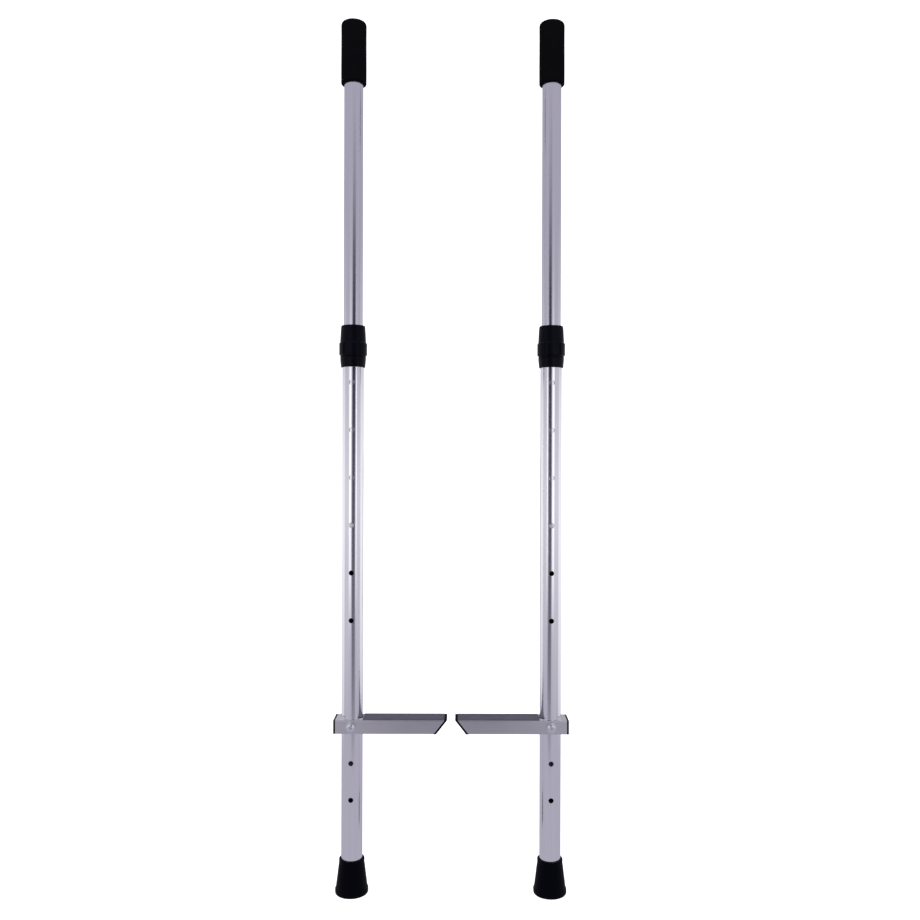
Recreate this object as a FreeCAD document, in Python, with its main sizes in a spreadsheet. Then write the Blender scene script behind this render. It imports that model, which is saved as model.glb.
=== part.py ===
"""A pair of adjustable aluminium stilts: telescoping round poles with a twist lock and a snap button, and a bolted foot step.

Each stilt stands on a rubber foot. A wide lower tube holds a narrower upper tube, which ends in a foam grip. A spring
button in the upper tube snaps into one of six holes in the lower tube, and a twist nut squeezes a split collet to take
up the play. A rectangular step tube slides over the lower tube and is held by a cross bolt and a wing nut.

Frame: millimetres, +Z up, the ground at Z = 0, the two poles' axes at Y = 0 and equally far from X = 0. The steps point
at each other and the snap buttons and bolt heads face -Y.
"""

import FreeCAD
import Part
import os

import Sketcher

# Driving dimensions, in millimetres: (alias, value, what it is)
DIMENSIONS = [
    ("pole_spacing", 273, "distance between the two poles' axes"),
    ("overall_height", 1197.5, "ground to the top of the grip, as stored"),
    # round tubes
    ("lower_tube_dia", 29.4, "outside diameter of the lower tube"),
    ("upper_tube_dia", 26.4, "outside diameter of the upper tube"),
    ("upper_tube_wall", 1.3, "wall of the upper tube"),
    ("press_gap", 0.05, "radial gap of a pressed or glued fit"),
    ("slide_gap", 0.3, "radial gap round a sliding tube"),
    ("run_gap", 0.1, "radial gap of a turning or guided fit"),
    # holes for the snap button and for the step bolt
    ("snap_count", 6, "number of snap holes"),
    ("snap_pitch", 65, "distance between snap holes"),
    ("snap_top", 701.1, "height of the top snap hole"),
    ("snap_hole_dia", 7, "diameter of a snap hole"),
    ("snap_chosen", 4, "snap hole in use, counted from the top"),
    ("tube_below_snap", 14, "upper tube beyond its snap button"),
    ("step_hole_count", 3, "number of step bolt holes"),
    ("step_hole_pitch", 50, "distance between step bolt holes"),
    ("step_hole_top", 231.4, "height of the top step bolt hole"),
    ("step_hole_dia", 7, "diameter of a step bolt hole in the lower tube"),
    # rubber foot
    ("foot_base_dia", 45.5, "diameter of the sole"),
    ("foot_top_dia", 35, "diameter of the foot's mouth"),
    ("foot_height", 47.5, "height of the foot"),
    ("foot_skirt", 8, "height of the straight part above the sole"),
    ("foot_sole", 8, "rubber below the tube"),
    ("foot_edge_round", 2.4, "rounding of the sole's edge"),
    ("foot_mouth_round", 1.2, "rounding of the foot's mouth"),
    ("tread_depth", 1.5, "depth of the sole's ring grooves"),
    ("tread_width", 2.2, "width of a ring groove"),
    ("tread_first", 7, "inner radius of the first ring groove"),
    ("tread_pitch", 4.6, "radial distance between ring grooves"),
    ("tread_count", 3, "number of ring grooves"),
    ("foot_washer_thick", 1.5, "steel disc under the tube"),
    ("foot_washer_bore", 8, "hole in that disc"),
    # twist lock
    ("collar_bottom", 722.4, "height of the collar's lower end"),
    ("collar_seat_len", 25.6, "lower tube inside the collar body"),
    ("collar_shoulder", 14.6, "height of the collar body's visible ring"),
    ("collar_ring_dia", 35.6, "diameter of that ring at its top"),
    ("collar_ring_bottom_dia", 33.3, "diameter of that ring at its bottom"),
    ("spigot_dia", 31.4, "outside diameter of the threaded spigot"),
    ("spigot_len", 25, "length of the threaded spigot"),
    ("nut_gap", 0.5, "gap between the nut and the collar body's shoulder"),
    ("nut_len", 42.3, "length of the twist nut"),
    ("nut_band_dia", 38.4, "diameter over the nut's grip band"),
    ("nut_band_start", 1.2, "start of the grip band above the nut's lower end"),
    ("nut_band_len", 18.3, "length of the grip band"),
    ("nut_body_dia", 35.6, "diameter of the nut beside the band"),
    ("nut_top_dia", 32.8, "diameter of the nut at its top"),
    ("nut_top_round", 1.8, "rounding of the nut's top edge"),
    ("nut_groove_count", 6, "number of grooves across the grip band"),
    ("nut_groove_width", 4.4, "width of one groove"),
    ("collet_len", 10.7, "length of the split collet"),
    ("collet_base_dia", 30.6, "outside diameter of the collet at its base"),
    ("collet_top_dia", 28.8, "outside diameter of the collet at its top"),
    ("collet_gap", 0.3, "axial gap under and over the collet"),
    ("collet_slit", 2.5, "width of the collet's slit"),
    # foam grip and the plug under it
    ("grip_dia", 35, "diameter of the grip"),
    ("grip_len", 85.4, "length of the grip"),
    ("grip_end", 7, "foam over the end of the plug"),
    ("grip_top_round", 5, "rounding of the grip's closed end"),
    ("grip_mouth_round", 2.4, "rounding of the grip's open end"),
    ("plug_flange", 2, "thickness of the plug's flange"),
    ("plug_len", 14, "length of the plug inside the tube"),
    ("plug_wall", 2, "wall of the plug"),
    # snap button and its spring
    ("button_dia", 6.4, "diameter of the snap button"),
    ("button_proud", 1.8, "button standing out of the lower tube"),
    ("button_round", 1.6, "rounding of the button's nose"),
    ("button_flange_dia", 8.6, "diameter of the button's flange"),
    ("button_flange_thick", 0.9, "thickness of that flange"),
    ("button_rivet_dia", 2.8, "rivet that holds the button to its spring"),
    ("button_rivet_len", 1.4, "length of that rivet"),
    ("spring_thick", 0.8, "thickness of the spring strip"),
    ("spring_width", 8, "width of the spring strip"),
    ("spring_leg", 38, "straight length of a spring leg above the button"),
    ("spring_tail", 8, "spring leg below the button"),
    ("spring_wall_gap", 0.35, "gap between the spring's back leg and the tube"),
    # step
    ("step_depth", 33, "depth of the step tube, front to back"),
    ("step_height", 18.8, "height of the step tube"),
    ("step_wall", 1.6, "wall of the step tube"),
    ("step_corner", 1.4, "rounding of the step tube's long edges"),
    ("step_reach", 131, "pole axis to the tip of the step"),
    ("step_heel", 24, "pole axis to the blunt end of the step"),
    ("step_pole_gap", 0.2, "radial gap between the pole and its hole in the step"),
    ("step_bolt_hole_dia", 6.5, "bolt hole in the step tube"),
    ("tread_strip_depth", 29.6, "width of the non-slip strip, front to back"),
    ("tread_strip_thick", 0.8, "thickness of the non-slip strip"),
    ("tread_strip_gap", 1.2, "gap between the strip and the pole"),
    ("cap_flange", 2.7, "flange of the blunt end's cap"),
    ("cap_pole_gap", 1, "gap between that cap's insert and the pole"),
    ("mitre_run", 14.8, "how far the mitred end leans back over the step's height"),
    ("mitre_flange", 2.9, "flange of the mitred end's cap"),
    ("mitre_insert", 9, "insert of the mitred end's cap, along the step"),
    ("cap_insert_wall", 1.6, "wall of both caps' inserts"),
    ("cap_insert_gap", 0.1, "gap between a cap's insert and the step tube"),
    # cross bolt
    ("bolt_dia", 6, "diameter of the bolt"),
    ("bolt_len", 45, "length of the bolt under its head"),
    ("bolt_head_dia", 12, "diameter of the domed head"),
    ("bolt_head_thick", 3.8, "thickness of the head"),
    ("bolt_head_edge", 1.2, "straight edge of the head under its dome"),
    ("bolt_crown_dia", 6.4, "flat crown of the head"),
    ("cross_length", 6, "length of each bar of the cross recess"),
    ("cross_width", 1.3, "width of each bar"),
    ("cross_depth", 2.2, "depth of the cross recess"),
    ("bolt_tip_chamfer", 0.8, "chamfer of the bolt's tip"),
    ("washer_dia", 14, "outside diameter of a washer"),
    ("washer_bore", 6.4, "bore of a washer"),
    ("washer_thick", 1.4, "thickness of a washer"),
    # wing nut
    ("wing_base_dia", 13, "diameter of the wing nut's base"),
    ("wing_neck_dia", 9.6, "diameter of the wing nut's neck"),
    ("wing_nut_height", 8, "height of the wing nut's hub"),
    ("wing_span", 31, "distance over both wings"),
    ("wing_rise", 5, "wing tip above the hub"),
    ("wing_lift", 2.4, "gap under a wing's outer end"),
    ("wing_thick", 2.4, "thickness of a wing"),
    ("wing_tip_round", 3.4, "rounding of a wing's tip"),
    ("wing_bore_gap", 0.05, "radial gap between the bolt and the wing nut"),
]

# Values worked out from the driving dimensions, each an expression of earlier aliases
DERIVED = [
    (
        "lower_tube_wall",
        "(lower_tube_dia - upper_tube_dia) / 2 - run_gap",
        "wall of the lower tube, in which the upper tube slides",
    ),
    ("snap_height", "snap_top - (snap_chosen - 1) * snap_pitch", "height of the snap button"),
    ("lower_tube_start", "foot_sole + foot_washer_thick", "lower end of the lower tube"),
    ("lower_tube_end", "collar_bottom + collar_seat_len", "upper end of the lower tube"),
    ("upper_tube_start", "snap_height - tube_below_snap", "lower end of the upper tube"),
    ("upper_tube_end", "overall_height - grip_end - plug_flange", "upper end of the upper tube"),
    ("upper_bore_dia", "upper_tube_dia - 2 * upper_tube_wall", "bore of the upper tube"),
    ("grip_start", "overall_height - grip_len", "open end of the grip"),
    ("nut_start", "collar_bottom + collar_shoulder + nut_gap", "lower end of the twist nut"),
    ("nut_end", "nut_start + nut_len", "upper end of the twist nut"),
    ("spigot_end", "collar_bottom + collar_shoulder + spigot_len", "upper end of the spigot"),
    ("collet_start", "spigot_end + collet_gap", "lower end of the collet"),
    ("collet_end", "collet_start + collet_len", "upper end of the collet"),
    ("slide_bore_r", "upper_tube_dia / 2 + slide_gap", "bore that clears the sliding tube"),
    (
        "button_seat",
        "sqrt((upper_bore_dia / 2) ^ 2 - (button_flange_dia / 2) ^ 2) - slide_gap",
        "distance of the button flange's face from the pole's axis",
    ),
    ("spring_front", "button_seat - button_flange_thick", "outer face of the spring's front leg"),
    (
        "spring_back",
        "sqrt((upper_bore_dia / 2) ^ 2 - (spring_width / 2) ^ 2) - spring_wall_gap",
        "outer face of the spring's back leg",
    ),
    ("step_base", "step_hole_top - step_height / 2", "underside of the step"),
    ("step_top", "step_hole_top + step_height / 2", "top of the step"),
    ("mitre_slope", "mitre_run / step_height", "lean of the mitred end"),
    (
        "step_tube_tip",
        "step_reach - mitre_flange * sqrt(1 + mitre_slope ^ 2)",
        "top edge of the mitred tube",
    ),
    ("washer_seat", "step_depth / 2", "distance of a washer's inner face from the pole's axis"),
    ("head_seat", "washer_seat + washer_thick", "distance of the bolt's head and of the wing nut"),
]

SIDES = {"left": -1, "right": 1}

document = FreeCAD.newDocument("stilts")


def fill_sheet():
    """Writes the driving dimensions and what follows from them into the spreadsheet."""
    table = document.addObject("Spreadsheet::Sheet", "size")
    for row, (alias, number, meaning) in enumerate(DIMENSIONS, start=1):
        table.set(f"A{row}", meaning)
        table.set(f"B{row}", str(number))
        table.setAlias(f"B{row}", alias)
    for row, (alias, expression, meaning) in enumerate(DERIVED, start=len(DIMENSIONS) + 1):
        table.set(f"A{row}", meaning)
        table.set(f"B{row}", "=" + expression)
        table.setAlias(f"B{row}", alias)
    document.recompute()
    return table


size = fill_sheet()


def number(expression):
    """The value of an expression of the sheet's aliases, such as 'size.step_depth / 2'."""
    return float(size.evalExpression(expression))


# ---------------------------------------------------------------- sketches


def new_body(label):
    body = document.addObject("PartDesign::Body", label)
    body.Label = label
    return body


def sketch_on(body, name, role, offset=None):
    """A sketch on one of the body's own origin planes, moved along the plane's normal by an expression."""
    sketch = body.newObject("Sketcher::SketchObject", name)
    plane = [feature for feature in body.Origin.OriginFeatures if feature.Role == role][0]
    sketch.AttachmentSupport = (plane, [""])
    sketch.MapMode = "FlatFace"
    if offset is not None:
        sketch.setExpression("AttachmentOffset.Base.z", offset)
    return sketch


def bind(sketch, constraint, expression):
    index = sketch.addConstraint(constraint)
    sketch.setExpression(f"Constraints[{index}]", expression)


def pin_point(sketch, geometry, end, across, up):
    """Fixes a point of the sketch at two expressions, or on an axis where the expression is '0'."""
    origin, point = (-1, 1), (geometry, end)
    if across == "0":
        sketch.addConstraint(Sketcher.Constraint("PointOnObject", geometry, end, -2))
    else:
        bind(sketch, Sketcher.Constraint("DistanceX", *origin, *point, number(across)), across)
    if up == "0":
        sketch.addConstraint(Sketcher.Constraint("PointOnObject", geometry, end, -1))
    else:
        bind(sketch, Sketcher.Constraint("DistanceY", *origin, *point, number(up)), up)


def draw_outline(sketch, corners):
    """A closed outline with straight sides. Each corner is a pair of expressions."""
    places = [FreeCAD.Vector(number(x), number(y), 0) for x, y in corners]
    first, count = sketch.GeometryCount, len(corners)
    for start, end in zip(places, places[1:] + places[:1]):
        sketch.addGeometry(Part.LineSegment(start, end), False)
    for i in range(count):
        following = first + (i + 1) % count
        sketch.addConstraint(Sketcher.Constraint("Coincident", first + i, 2, following, 1))
    for i, (across, up) in enumerate(corners):
        pin_point(sketch, first + i, 1, across, up)


def draw_circle(sketch, radius, across="0", up="0"):
    centre = FreeCAD.Vector(number(across), number(up), 0)
    upright = FreeCAD.Vector(0, 0, 1)
    circle = sketch.addGeometry(Part.Circle(centre, upright, number(radius)), False)
    pin_point(sketch, circle, 3, across, up)
    bind(sketch, Sketcher.Constraint("Radius", circle, number(radius)), radius)
    return circle


def draw_box(sketch, half_width, half_height):
    """A rectangle about the sketch's origin."""
    draw_outline(
        sketch,
        [
            (f"-({half_width})", f"-({half_height})"),
            (half_width, f"-({half_height})"),
            (half_width, half_height),
            (f"-({half_width})", half_height),
        ],
    )


# ---------------------------------------------------------------- features


def revolve(body, name, corners):
    """A solid of revolution about Z. Corners are (radius, height) expressions."""
    sketch = sketch_on(body, name + "_profile", "XZ_Plane")
    draw_outline(sketch, corners)
    feature = body.newObject("PartDesign::Revolution", name)
    feature.Profile = sketch
    feature.ReferenceAxis = (sketch, ["V_Axis"])
    feature.Angle = 360
    document.recompute()
    return feature


def pad(body, name, sketch, length, symmetric=False):
    feature = body.newObject("PartDesign::Pad", name)
    feature.Profile = sketch
    feature.setExpression("Length", length)
    if symmetric:
        feature.Midplane = True
    document.recompute()
    return feature


def pocket(body, name, sketch, length, symmetric=False, forward=False):
    """Cuts a sketch into the body against its normal, or along it with forward. It has to remove material."""
    before = body.Shape.Volume
    feature = body.newObject("PartDesign::Pocket", name)
    feature.Profile = sketch
    feature.setExpression("Length", length)
    if symmetric:
        feature.Midplane = True
    feature.Reversed = forward
    document.recompute()
    if not feature.Shape.Volume < before - 1e-6:
        raise ValueError(f"{body.Label}: pocket {name} cuts nothing")
    return feature


def pattern_along(body, name, feature, axis_role, length, count):
    """Repeats a feature along one of the body's own axes."""
    axis = [f for f in body.Origin.OriginFeatures if f.Role == axis_role][0]
    pattern = body.newObject("PartDesign::LinearPattern", name)
    pattern.Originals = [feature]
    pattern.Direction = (axis, [""])
    pattern.Reversed = True
    pattern.setExpression("Length", length)
    pattern.setExpression("Occurrences", count)
    body.Tip = pattern
    document.recompute()
    return pattern


def pattern_round(body, name, feature, count):
    """Repeats a feature round Z."""
    axis = [f for f in body.Origin.OriginFeatures if f.Role == "Z_Axis"][0]
    pattern = body.newObject("PartDesign::PolarPattern", name)
    pattern.Originals = [feature]
    pattern.Axis = (axis, [""])
    pattern.Angle = 360
    pattern.setExpression("Occurrences", count)
    body.Tip = pattern
    document.recompute()
    return pattern


def edges_where(feature, test):
    """Names of the feature's edges whose shape passes the test."""
    return [f"Edge{i + 1}" for i, edge in enumerate(feature.Shape.Edges) if test(edge)]


def is_ring(radius, height):
    """A test for a circular edge round Z with this radius and height, both expressions."""
    wanted_radius, wanted_height = number(radius), number(height)

    def test(edge):
        curve = edge.Curve
        return (
            isinstance(curve, Part.Circle)
            and abs(curve.Radius - wanted_radius) < 1e-4
            and abs(curve.Center.z - wanted_height) < 1e-4
        )

    return test


def round_edges(body, name, feature, radius, test):
    edges = edges_where(feature, test)
    if not edges:
        raise ValueError(f"{body.Label}: no edge for {name}")
    fillet = body.newObject("PartDesign::Fillet", name)
    fillet.Base = (feature, edges)
    fillet.setExpression("Radius", radius)
    document.recompute()
    return fillet


def chamfer_edges(body, name, feature, width, test):
    edges = edges_where(feature, test)
    if not edges:
        raise ValueError(f"{body.Label}: no edge for {name}")
    chamfer = body.newObject("PartDesign::Chamfer", name)
    chamfer.Base = (feature, edges)
    chamfer.setExpression("Size", width)
    document.recompute()
    return chamfer


# ---------------------------------------------------------------- placing


def stand_on_pole(body, side, turned=False):
    """Puts a body that is built round Z on its own stilt's pole axis. A turned body faces the other way round Z."""
    half_turn = 180 if turned else 0
    body.Placement = FreeCAD.Placement(
        FreeCAD.Vector(), FreeCAD.Rotation(FreeCAD.Vector(0, 0, 1), half_turn)
    )
    body.setExpression(".Placement.Base.x", f"{SIDES[side]} * size.pole_spacing / 2")


def face_forward(body, side, height):
    """Lays a body that is built round Z across the pole, so that its +Z points at -Y, at a height expression."""
    body.Placement = FreeCAD.Placement(
        FreeCAD.Vector(), FreeCAD.Rotation(FreeCAD.Vector(1, 0, 0), 90)
    )
    body.setExpression(".Placement.Base.x", f"{SIDES[side]} * size.pole_spacing / 2")
    body.setExpression(".Placement.Base.z", height)


# ---------------------------------------------------------------- pole


def make_foot(side):
    """Rubber foot: a flared cup with ring grooves in its sole."""
    body = new_body(f"{side}_foot")
    tread = []
    for ring in range(int(number("size.tread_count"))):
        inner = f"size.tread_first + {ring} * size.tread_pitch"
        outer = f"{inner} + size.tread_width"
        tread += [(inner, "0"), (inner, "size.tread_depth"), (outer, "size.tread_depth"), (outer, "0")]
    socket = "size.lower_tube_dia / 2 + size.press_gap"
    cup = revolve(
        body,
        "cup",
        [
            ("0", "0"),
            *tread,
            ("size.foot_base_dia / 2", "0"),
            ("size.foot_base_dia / 2", "size.foot_skirt"),
            ("size.foot_top_dia / 2", "size.foot_height"),
            (socket, "size.foot_height"),
            (socket, "size.foot_sole"),
            ("0", "size.foot_sole"),
        ],
    )
    sole = round_edges(
        body, "sole_round", cup, "size.foot_edge_round", is_ring("size.foot_base_dia / 2", "0")
    )
    round_edges(
        body,
        "mouth_round",
        sole,
        "size.foot_mouth_round",
        is_ring("size.foot_top_dia / 2", "size.foot_height"),
    )
    stand_on_pole(body, side)


def make_foot_washer(side):
    """Steel disc in the foot, which keeps the tube from cutting through the rubber."""
    body = new_body(f"{side}_foot_washer")
    sketch = sketch_on(body, "ring", "XY_Plane", "size.foot_sole")
    draw_circle(sketch, "size.lower_tube_dia / 2 - size.slide_gap")
    draw_circle(sketch, "size.foot_washer_bore / 2")
    pad(body, "disc", sketch, "size.foot_washer_thick")
    stand_on_pole(body, side)


def make_lower_tube(side):
    """Lower tube, with snap holes in its front wall and step bolt holes through both walls."""
    body = new_body(f"{side}_lower_tube")
    sketch = sketch_on(body, "section", "XY_Plane", "size.lower_tube_start")
    draw_circle(sketch, "size.lower_tube_dia / 2")
    draw_circle(sketch, "size.lower_tube_dia / 2 - size.lower_tube_wall")
    pad(body, "tube", sketch, "size.lower_tube_end - size.lower_tube_start")

    snap = sketch_on(body, "snap_hole", "XZ_Plane")
    draw_circle(snap, "size.snap_hole_dia / 2", "0", "size.snap_top")
    hole = pocket(body, "snap_cut", snap, "size.lower_tube_dia", forward=True)
    pattern_along(
        body, "snap_row", hole, "Z_Axis", "(size.snap_count - 1) * size.snap_pitch", "size.snap_count"
    )

    bolt = sketch_on(body, "step_hole", "XZ_Plane")
    draw_circle(bolt, "size.step_hole_dia / 2", "0", "size.step_hole_top")
    hole = pocket(body, "step_cut", bolt, "2 * size.lower_tube_dia", symmetric=True)
    pattern_along(
        body,
        "step_row",
        hole,
        "Z_Axis",
        "(size.step_hole_count - 1) * size.step_hole_pitch",
        "size.step_hole_count",
    )
    stand_on_pole(body, side)


def make_upper_tube(side):
    """Upper tube, with one hole in its front wall for the snap button."""
    body = new_body(f"{side}_upper_tube")
    sketch = sketch_on(body, "section", "XY_Plane", "size.upper_tube_start")
    draw_circle(sketch, "size.upper_tube_dia / 2")
    draw_circle(sketch, "size.upper_bore_dia / 2")
    pad(body, "tube", sketch, "size.upper_tube_end - size.upper_tube_start")
    snap = sketch_on(body, "snap_hole", "XZ_Plane")
    draw_circle(snap, "size.snap_hole_dia / 2", "0", "size.snap_height")
    pocket(body, "snap_cut", snap, "size.upper_tube_dia", forward=True)
    stand_on_pole(body, side)


def make_end_plug(side):
    """Plastic plug that closes the upper tube under the foam."""
    body = new_body(f"{side}_end_plug")
    outside = "size.upper_bore_dia / 2 - size.press_gap"
    inside = f"{outside} - size.plug_wall"
    foot = "size.upper_tube_end - size.plug_len"
    revolve(
        body,
        "plug",
        [
            ("0", "size.upper_tube_end"),
            (inside, "size.upper_tube_end"),
            (inside, foot),
            (outside, foot),
            (outside, "size.upper_tube_end"),
            ("size.upper_tube_dia / 2", "size.upper_tube_end"),
            ("size.upper_tube_dia / 2", "size.upper_tube_end + size.plug_flange"),
            ("0", "size.upper_tube_end + size.plug_flange"),
        ],
    )
    stand_on_pole(body, side)


def make_grip(side):
    """Foam grip: a closed sleeve over the end of the upper tube."""
    body = new_body(f"{side}_grip")
    bore = "size.upper_tube_dia / 2 + size.press_gap"
    ceiling = "size.overall_height - size.grip_end"
    sleeve = revolve(
        body,
        "sleeve",
        [
            (bore, "size.grip_start"),
            ("size.grip_dia / 2", "size.grip_start"),
            ("size.grip_dia / 2", "size.overall_height"),
            ("0", "size.overall_height"),
            ("0", ceiling),
            (bore, ceiling),
        ],
    )
    top = round_edges(
        body,
        "top_round",
        sleeve,
        "size.grip_top_round",
        is_ring("size.grip_dia / 2", "size.overall_height"),
    )
    round_edges(
        body, "mouth_round", top, "size.grip_mouth_round", is_ring("size.grip_dia / 2", "size.grip_start")
    )
    stand_on_pole(body, side)


# ---------------------------------------------------------------- twist lock


def make_collar_body(side):
    """Collar body: a ring on the lower tube's end, with the spigot that carries the nut's thread."""
    body = new_body(f"{side}_collar_body")
    shoulder = "size.collar_bottom + size.collar_shoulder"
    seat = "size.lower_tube_dia / 2 + size.press_gap"
    ring = revolve(
        body,
        "ring",
        [
            (seat, "size.collar_bottom"),
            ("size.collar_ring_bottom_dia / 2", "size.collar_bottom"),
            ("size.collar_ring_dia / 2", shoulder),
            ("size.spigot_dia / 2", shoulder),
            ("size.spigot_dia / 2", "size.spigot_end"),
            ("size.slide_bore_r", "size.spigot_end"),
            ("size.slide_bore_r", "size.lower_tube_end"),
            (seat, "size.lower_tube_end"),
        ],
    )
    round_edges(
        body,
        "shoulder_round",
        ring,
        "size.nut_gap",
        is_ring("size.collar_ring_dia / 2", shoulder),
    )
    stand_on_pole(body, side)


def make_collet(side):
    """Split collet: a tapered ring round the upper tube, slit on one side so that it can close."""
    body = new_body(f"{side}_collet")
    bore = "size.upper_tube_dia / 2 + size.run_gap"
    revolve(
        body,
        "taper",
        [
            (bore, "size.collet_start"),
            ("size.collet_base_dia / 2", "size.collet_start"),
            ("size.collet_top_dia / 2", "size.collet_end"),
            (bore, "size.collet_end"),
        ],
    )
    slit = sketch_on(body, "slit", "XY_Plane", "size.collet_start")
    draw_outline(
        slit,
        [
            ("-size.collet_slit / 2", "0"),
            ("size.collet_slit / 2", "0"),
            ("size.collet_slit / 2", "size.collet_base_dia"),
            ("-size.collet_slit / 2", "size.collet_base_dia"),
        ],
    )
    pocket(body, "slit_cut", slit, "size.collet_len", forward=True)
    stand_on_pole(body, side)


def make_collar_nut(side):
    """Twist nut: a threaded sleeve with a grooved grip band, whose cone closes the collet."""
    body = new_body(f"{side}_collar_nut")
    band_start = "size.nut_start + size.nut_band_start"
    band_end = f"{band_start} + size.nut_band_len"
    bevel = "(size.nut_band_dia - size.nut_body_dia) / 2"
    thread = "size.spigot_dia / 2 + size.run_gap"
    cone_gap = "2 * size.run_gap"
    cone_end = "size.collet_end + size.collet_gap"
    sleeve = revolve(
        body,
        "sleeve",
        [
            (thread, "size.nut_start"),
            ("size.nut_body_dia / 2", "size.nut_start"),
            ("size.nut_body_dia / 2", band_start),
            ("size.nut_band_dia / 2", f"{band_start} + {bevel} / 2"),
            ("size.nut_band_dia / 2", f"{band_end} - {bevel}"),
            ("size.nut_body_dia / 2", band_end),
            ("size.nut_top_dia / 2", "size.nut_end"),
            ("size.slide_bore_r", "size.nut_end"),
            ("size.slide_bore_r", cone_end),
            (f"size.collet_top_dia / 2 + {cone_gap}", cone_end),
            (f"size.collet_base_dia / 2 + {cone_gap}", "size.collet_start"),
            (thread, "size.collet_start"),
        ],
    )
    top = round_edges(
        body, "top_round", sleeve, "size.nut_top_round", is_ring("size.nut_top_dia / 2", "size.nut_end")
    )
    groove = sketch_on(body, "groove", "XY_Plane", band_start)
    draw_outline(
        groove,
        [
            ("size.nut_body_dia / 2", "-size.nut_groove_width / 2"),
            ("size.nut_band_dia", "-size.nut_groove_width / 2"),
            ("size.nut_band_dia", "size.nut_groove_width / 2"),
            ("size.nut_body_dia / 2", "size.nut_groove_width / 2"),
        ],
    )
    body.Tip = top
    cut = pocket(body, "groove_cut", groove, "size.nut_band_len", forward=True)
    pattern_round(body, "groove_ring", cut, "size.nut_groove_count")
    stand_on_pole(body, side)


# ---------------------------------------------------------------- snap button


def make_snap_button(side):
    """Snap button: a steel stud with a flange inside the upper tube and a rivet to its spring."""
    body = new_body(f"{side}_snap_button")
    nose = "size.lower_tube_dia / 2 + size.button_proud"
    stud = revolve(
        body,
        "stud",
        [
            ("0", "size.spring_front - size.button_rivet_len"),
            ("size.button_rivet_dia / 2", "size.spring_front - size.button_rivet_len"),
            ("size.button_rivet_dia / 2", "size.spring_front"),
            ("size.button_flange_dia / 2", "size.spring_front"),
            ("size.button_flange_dia / 2", "size.button_seat"),
            ("size.button_dia / 2", "size.button_seat"),
            ("size.button_dia / 2", nose),
            ("0", nose),
        ],
    )
    round_edges(body, "nose_round", stud, "size.button_round", is_ring("size.button_dia / 2", nose))
    face_forward(body, side, "size.snap_height")


def make_snap_spring(side):
    """Spring strip: a hairpin inside the upper tube, with the button on its front leg."""
    body = new_body(f"{side}_snap_spring")
    bottom = "size.snap_height - size.spring_tail"
    top = "size.snap_height + size.spring_leg"
    sketch = sketch_on(body, "hairpin", "YZ_Plane")
    front, back = "-size.spring_front", "size.spring_back"
    middle = "(size.spring_back - size.spring_front) / 2"
    outer = "(size.spring_back + size.spring_front) / 2"
    centre = FreeCAD.Vector(number(middle), number(top), 0)
    upright = FreeCAD.Vector(0, 0, 1)
    half_turn = 3.141592653589793

    def leg(across):
        start = FreeCAD.Vector(number(across), number(top), 0)
        end = FreeCAD.Vector(number(across), number(bottom), 0)
        line = sketch.addGeometry(Part.LineSegment(start, end), False)
        pin_point(sketch, line, 1, across, top)
        pin_point(sketch, line, 2, across, bottom)
        return line

    def bend(radius):
        circle = Part.Circle(centre, upright, number(radius))
        arc = sketch.addGeometry(Part.ArcOfCircle(circle, 0, half_turn), False)
        bind(sketch, Sketcher.Constraint("DistanceY", -1, 1, arc, 3, number(top)), top)
        return arc

    front_out, front_in = leg(front), leg(f"{front} + size.spring_thick")
    back_in, back_out = leg(f"{back} - size.spring_thick"), leg(back)
    outer_arc, inner_arc = bend(outer), bend(f"{outer} - size.spring_thick")
    for arc, right, left in ((outer_arc, back_out, front_out), (inner_arc, back_in, front_in)):
        sketch.addConstraint(Sketcher.Constraint("Coincident", arc, 1, right, 1))
        sketch.addConstraint(Sketcher.Constraint("Coincident", arc, 2, left, 1))
    for one, other in ((front_out, front_in), (back_in, back_out)):
        a, b = sketch.getPoint(one, 2), sketch.getPoint(other, 2)
        cap = sketch.addGeometry(Part.LineSegment(a, b), False)
        sketch.addConstraint(Sketcher.Constraint("Coincident", cap, 1, one, 2))
        sketch.addConstraint(Sketcher.Constraint("Coincident", cap, 2, other, 2))
    pad(body, "strip", sketch, "size.spring_width", symmetric=True)
    rivet = sketch_on(body, "rivet_hole", "XZ_Plane")
    draw_circle(rivet, "size.button_rivet_dia / 2 + size.run_gap", "0", "size.snap_height")
    pocket(body, "rivet_cut", rivet, "size.spring_front + size.spring_thick", forward=True)
    stand_on_pole(body, side)


# ---------------------------------------------------------------- step


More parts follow.
